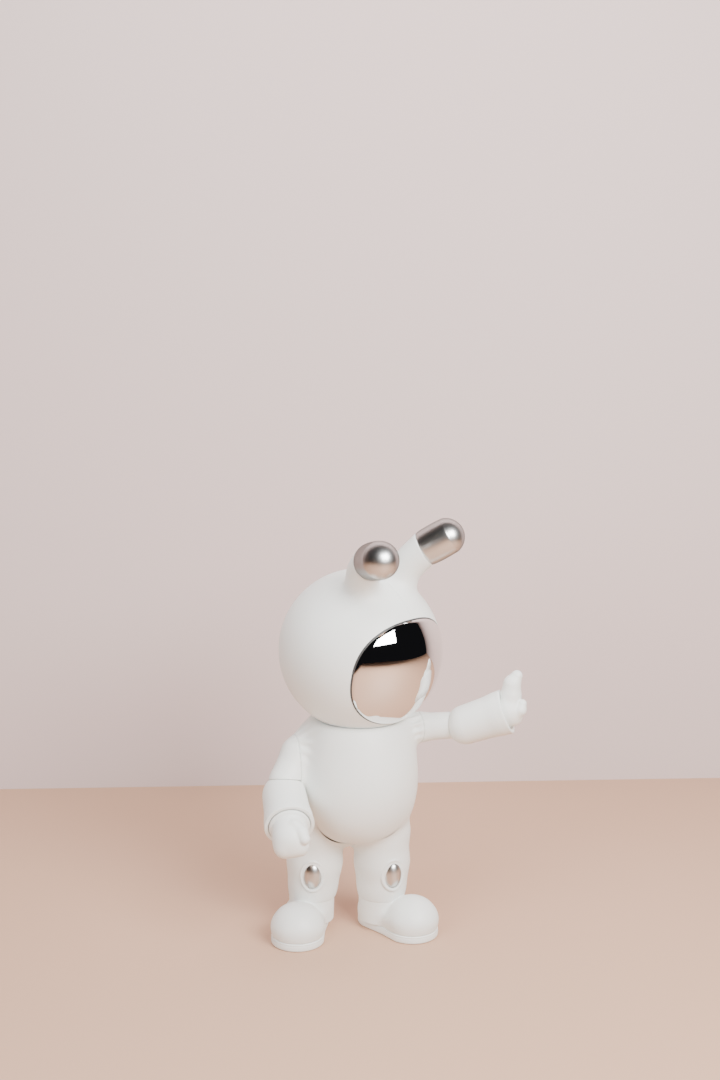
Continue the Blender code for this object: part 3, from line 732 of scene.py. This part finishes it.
def hand_left_field(points):
    """The raised hand: fingers together and pointing up, the thumb beside them."""
    _, along, _ = arm_axes("left")
    cuff = CUFF["left"]
    start = cuff - along * 0.016
    wrist = rod(points, start, cuff + along * 0.002, 0.0335, 0.0300)
    palm = cuff + along * 0.006
    fingers = chain(
        points,
        [palm + seen(0, 0, 6), palm + seen(2, 0, 32), palm + seen(4, 0, 54), palm + seen(13, 0, 70)],
        [0.0230, 0.0190, 0.0155, 0.0110],
        0.012,
    )
    field = blend(wrist, fingers, 0.014)
    thumb = chain(
        points,
        [palm + seen(6, -10, -8), palm + seen(19, -16, 6), palm + seen(23, -15, 18)],
        [0.0140, 0.0115, 0.0085],
        0.006,
    )
    field = blend(field, thumb, 0.004)
    heel = egg(points, palm + seen(6, -2, -14), vec(0.018, 0.018, 0.016))
    field = blend(field, heel, 0.008)
    return np.maximum(field, -beyond(points, start, along))


def around(places, margin):
    """The box round some places, with a margin."""
    stack = np.array(places)
    return stack.min(axis=0) - margin, stack.max(axis=0) + margin


def build_body():
    sculpt(
        "torso_skin", torso_field, (-0.140, -0.140, 0.178), (0.122, 0.125, 0.452), 0.0022,
        WHITE, "root", "white_shell", ["torso_shell", "shoulder_boss_right", "shoulder_boss_left"],
    )
    for side, _ in SIDES:
        _, _, bulb = arm_axes(side)
        low, high = around([SHOULDER[side], ELBOW[side]], 0.055)
        sculpt(
            f"upper_arm_skin_{side}", upper_arm_field(side), low, high, 0.0016,
            WHITE, f"upper_arm_{side}", "white_shell", [f"upper_arm_{side}"],
        )
        low, high = around([bulb, CUFF[side]], 0.056)
        sculpt(
            f"sleeve_skin_{side}", sleeve_field(side), low, high, 0.0015,
            WHITE, f"forearm_{side}", "white_shell", [f"sleeve_{side}"],
        )
    _, along, _ = arm_axes("right")
    right_box = around([CUFF["right"] - along * 0.01, CUFF["right"] + along * 0.04], 0.048)
    left_box = around([CUFF["left"] - vec(0, 0, 0.006), CUFF["left"] + seen(24, 0, 78)], 0.040)
    for side, field, box in (("right", hand_right_field, right_box), ("left", hand_left_field, left_box)):
        hand = f"hand_{side}"
        sculpt(f"glove_{side}", field, *box, 0.0013, WHITE, hand, "white_shell", [hand])


# ---------------------------------------------------------------- legs and boots

LEG_LINE = {
    "right": (
        vec(-0.070, 0.024, 0.262), vec(-0.080, 0.025, 0.236), vec(-0.085, 0.026, 0.200),
        vec(-0.088, 0.025, 0.135), vec(-0.092, 0.024, 0.088), vec(-0.095, 0.023, 0.060),
    ),
    "left": (
        vec(0.034, -0.010, 0.262), vec(0.039, -0.011, 0.236), vec(0.041, -0.013, 0.200),
        vec(0.041, -0.016, 0.135), vec(0.040, -0.017, 0.088), vec(0.039, -0.018, 0.060),
    ),
}
LEG_RADII = (0.040, 0.049, 0.0550, 0.0535, 0.0475, 0.0440)
CROTCH = (vec(-0.056, 0.006, 0.204), vec(0.012, -0.004, 0.204))
CROTCH_R = 0.034
LEG_MIDDLE = vec(-0.022, 0.002, 0.2)  # where the two legs meet
LEG_OVERLAP = 0.0020  # a leg reaches this far into the torso

KNEE_Z = 0.124
KNEE_YAW = {"right": math.radians(-20), "left": math.radians(7)}
KNEE_RING = (0.0225, 0.0305)  # half width and half height, as in the other ovals
KNEE_RING_SECTION = (0.0040, 0.0046)
KNEE_DOME = (0.0183, 0.0260)
KNEE_DOME_RISE, KNEE_DOME_SUNK = 0.0115, 0.0002

BOOT_TOE = {"right": vec(-0.143, -0.042, 0), "left": vec(0.083, -0.079, 0)}
BOOT_HEEL = {"right": vec(-0.098, 0.040, 0), "left": vec(0.040, -0.002, 0)}
BOOT_TOE_R, BOOT_HEEL_R = 0.0500, 0.0415
BOOT_TOP = 0.094
BOOT_WAIST = 0.0022  # how far the sides pull in between toe and heel
SOLE_TOE_R, SOLE_HEEL_R = 0.0525, 0.0430
SOLE_TOP, BOOT_FOOT = 0.0165, 0.0168
SOLE_ROUND = 0.004


def leg_field(side):
    """A trouser leg that runs into the torso and the other leg, with a rounded hem."""
    line = LEG_LINE[side]

    def field(points):
        leg = chain(points, line, LEG_RADII, 0.02)
        leg = blend(leg, rod(points, *CROTCH, CROTCH_R, CROTCH_R), 0.026)
        trunk = egg_torso(points)
        leg = np.maximum(blend(leg, trunk, 0.024), -LEG_OVERLAP - trunk)
        leg = np.maximum(leg, -beyond(points, LEG_MIDDLE, OUT[side]))
        hem = line[-1][2] + 0.004
        return meet(leg, hem - points[:, 2], 0.005)

    return field


def stadium(points, side, toe_r, heel_r):
    """Flat distance to a sole's outline."""
    toe, heel = BOOT_TOE[side][:2], BOOT_HEEL[side][:2]
    flat = points[:, :2]
    along = heel - toe
    share = np.clip((flat - toe) @ along / (along @ along), 0, 1)
    waist = BOOT_WAIST * np.sin(np.pi * share) ** 2
    radius = toe_r + (heel_r - toe_r) * share - waist
    return np.linalg.norm(flat - toe - share[:, None] * along, axis=-1) - radius


def boot_field(side):
    """A low foot, a shaft round the ankle and a big round toe, blended."""
    toe, heel = BOOT_TOE[side], BOOT_HEEL[side]
    forward = unit(toe - heel)
    ankle = LEG_LINE[side][-1]
    turn = np.stack([np.cross(forward, vec(0, 0, 1)), forward, vec(0, 0, 1)])

    def field(points):
        height = points[:, 2]
        toe_cap = egg(points, toe + vec(0, 0, 0.034), vec(0.0515, 0.0520, 0.0440), turn)
        foot = meet(stadium(points, side, BOOT_TOE_R, BOOT_HEEL_R), height - 0.048, 0.026)
        foot = foot - 0.0015 * np.sin(np.clip((height - 0.016) / 0.03, 0, 1) * np.pi)
        shaft = rod(points, ankle + vec(0, 0, 0.004), vec(ankle[0], ankle[1], 0.02), 0.0455, 0.0440)
        body = blend(foot, shaft, 0.014)
        body = blend(body, toe_cap, 0.012)
        body = np.maximum(body, height - BOOT_TOP)
        return np.maximum(body, BOOT_FOOT - height)

    return field


def sole_field(side):
    """A flat sole with rounded edges and a groove under the welt."""

    def field(points):
        flat = stadium(points, side, SOLE_TOE_R, SOLE_HEEL_R)
        height = points[:, 2]
        slab = np.maximum(-height, height - SOLE_TOP)
        rounded = np.hypot(np.maximum(flat + SOLE_ROUND, 0), np.maximum(slab + SOLE_ROUND, 0))
        inner = np.minimum(np.maximum(flat + SOLE_ROUND, slab + SOLE_ROUND), 0)
        sole = rounded + inner - SOLE_ROUND
        groove = np.hypot(flat - 0.0004, height - 0.0118) - 0.0011
        return carve(sole, groove, 0.0012)

    return field


def knee_place(side):
    """The knee's place on the leg, its across and outward axes, and the leg's radius there."""
    upper, lower = LEG_LINE[side][3:5]
    share = (upper[2] - KNEE_Z) / (upper[2] - lower[2])
    centre = upper + (lower - upper) * share
    radius = LEG_RADII[3] + (LEG_RADII[4] - LEG_RADII[3]) * share
    yaw = KNEE_YAW[side]
    across = vec(math.cos(yaw), math.sin(yaw), 0)
    outward = vec(math.sin(yaw), -math.cos(yaw), 0)
    return centre + outward * radius, across, outward, radius


def build_knee_ring(side):
    """An oval ring that bends round the leg."""
    place, across, outward, leg_r = knee_place(side)
    up = vec(0, 0, 1)
    count, sides = 96, 16
    points = []
    for k in range(count):
        a = 2 * math.pi * k / count
        x, z = KNEE_RING[0] * math.cos(a), KNEE_RING[1] * math.sin(a)
        normal = unit(vec(math.cos(a) / KNEE_RING[0], math.sin(a) / KNEE_RING[1], 0))
        depth = -x * x / (2 * leg_r)
        for j in range(sides):
            b = 2 * math.pi * j / sides
            wide, deep = KNEE_RING_SECTION[0] * math.cos(b), KNEE_RING_SECTION[1] * math.sin(b)
            px, pz = x + normal[0] * wide, z + normal[1] * wide
            points.append(place + across * px + up * pz + outward * (depth + deep))
    ring = mesh_object(f"knee_ring_skin_{side}", points, quads(count, sides, wrap=True), TRIM, "root")
    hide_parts(f"knee_ring_{side}")


def build_knee_dome(side):
    """A silver oval dome inside the ring."""
    place, across, outward, leg_r = knee_place(side)
    up = vec(0, 0, 1)
    rows, steps = 20, 72
    points = []
    for i in range(rows + 1):
        t = i / rows
        r = math.sin(t * math.pi / 2)
        h = math.cos(t * math.pi / 2)
        for k in range(steps):
            a = 2 * math.pi * k / steps
            x, z = KNEE_DOME[0] * r * math.cos(a), KNEE_DOME[1] * r * math.sin(a)
            depth = KNEE_DOME_RISE * h - KNEE_DOME_SUNK - x * x / (2 * leg_r)
            points.append(place + across * x + up * z + outward * depth)
    dome = mesh_object(f"knee_dome_skin_{side}", points, quads(rows + 1, steps), SILVER, "root")
    weld(dome, 0.00002)
    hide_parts(f"knee_dome_{side}")


def build_legs():
    for side, _ in SIDES:
        line = LEG_LINE[side]
        low, high = around([line[0] - vec(0, 0, 0.02), line[-1] + vec(0, 0, 0.05)], 0.062)
        low[2], high[2] = 0.050, 0.290
        low[0] = min(low[0], -0.03)
        high[0] = max(high[0], -0.015)
        sculpt(
            f"leg_skin_{side}", leg_field(side), low, high, 0.0019,
            WHITE, "root", "white_shell", [f"leg_{side}"],
        )
        low, high = around([BOOT_TOE[side], BOOT_HEEL[side]], 0.058)
        low[2], high[2] = 0.010, 0.100
        sculpt(
            f"boot_skin_{side}", boot_field(side), low, high, 0.0015,
            WHITE, "root", "white_shell", [f"boot_upper_{side}"],
        )
        low[2], high[2] = -0.004, 0.024
        sculpt(
            f"sole_skin_{side}", sole_field(side), low, high, 0.0010,
            TRIM, "root", "white_trim", [f"boot_sole_{side}"],
        )
        build_knee_ring(side)
        build_knee_dome(side)


# ---------------------------------------------------------------- stage

FLOOR_FRONT, WALL_BACK = 7.0, 0.85  # from the neck axis, along the quarter view
STAGE_HALF, WALL_HEIGHT = 5, 4
WALL_TURN = math.radians(2.7)
CAMERA_PLACE = Vector((-0.8863, -2.7276, 1.296))
CAMERA_LOOK = Vector((0.3043, 0.9366, -0.1736))


def plane(name, corners, material):
    mesh = bpy.data.meshes.new(name)
    mesh.from_pydata(corners, [], [(0, 1, 2, 3)])
    mesh.materials.append(material)
    obj = bpy.data.objects.new(name, mesh)
    bpy.context.scene.collection.objects.link(obj)


def area_light(name, place, aim, size, power, colour, glossy=True):
    data = bpy.data.lights.new(name, "AREA")
    data.shape = "RECTANGLE"
    data.size, data.size_y = size
    data.energy = power
    data.color = colour
    obj = bpy.data.objects.new(name, data)
    obj.location = place
    obj.rotation_euler = (Vector(aim) - Vector(place)).to_track_quat("-Z", "Y").to_euler()
    obj.visible_glossy = glossy
    bpy.context.scene.collection.objects.link(obj)


def build_stage():
    """A pale floor and wall, one softbox that the visor reflects, and two soft fills."""
    floor_coat, _ = new_material("stage_floor", (0.60, 0.375, 0.255), 0.55)
    wall_coat, _ = new_material("stage_wall", (0.69, 0.560, 0.545), 0.8)
    away = Vector(VIEW_AWAY.tolist())
    across = Vector(VIEW_RIGHT.tolist())
    front, back = NECK - away * FLOOR_FRONT, NECK + away * WALL_BACK
    side = across * STAGE_HALF
    under_wall = back + away * 0.3
    floor = [front - side, front + side, under_wall + side, under_wall - side]
    plane("stage_floor_sheet", floor, floor_coat)
    top = Vector((0, 0, WALL_HEIGHT))
    skew = away * STAGE_HALF * math.tan(WALL_TURN)
    left, right = back - side - skew, back + side + skew
    plane("stage_wall_sheet", [left, right, right + top, left + top], wall_coat)
    aim = NECK + Vector((0, 0, 0.45))

    def spot(right, toward, up):
        return NECK + across * right - away * toward + Vector((0, 0, up))

    area_light("key_softbox", spot(1.5, 2.1, 2.1), aim, (1.8, 1.4), 185, (1.0, 0.995, 0.98))
    area_light("fill_left", spot(-1.9, 2.4, 1.7), aim, (2.0, 1.8), 70, (0.98, 0.99, 1.0), glossy=False)
    area_light("top_fill", spot(0.0, 0.6, 3.0), aim, (2.4, 2.4), 80, (1.0, 0.99, 0.98), glossy=False)
    world = bpy.data.worlds.new("studio")
    world.use_nodes = True
    background = world.node_tree.nodes["Background"]
    background.inputs["Color"].default_value = (0.008, 0.008, 0.009, 1)
    background.inputs["Strength"].default_value = 1.0
    bpy.context.scene.world = world


def build_camera():
    data = bpy.data.cameras.new("camera")
    data.lens = 50
    data.sensor_width = 36
    data.clip_end = 50
    obj = bpy.data.objects.new("camera", data)
    obj.location = NECK + CAMERA_PLACE
    obj.rotation_euler = CAMERA_LOOK.to_track_quat("-Z", "Y").to_euler()
    bpy.context.scene.collection.objects.link(obj)
    bpy.context.scene.camera = obj


build_camera()
build_stage()
build_helmet()
build_visor()
build_caps()
build_body()
build_legs()
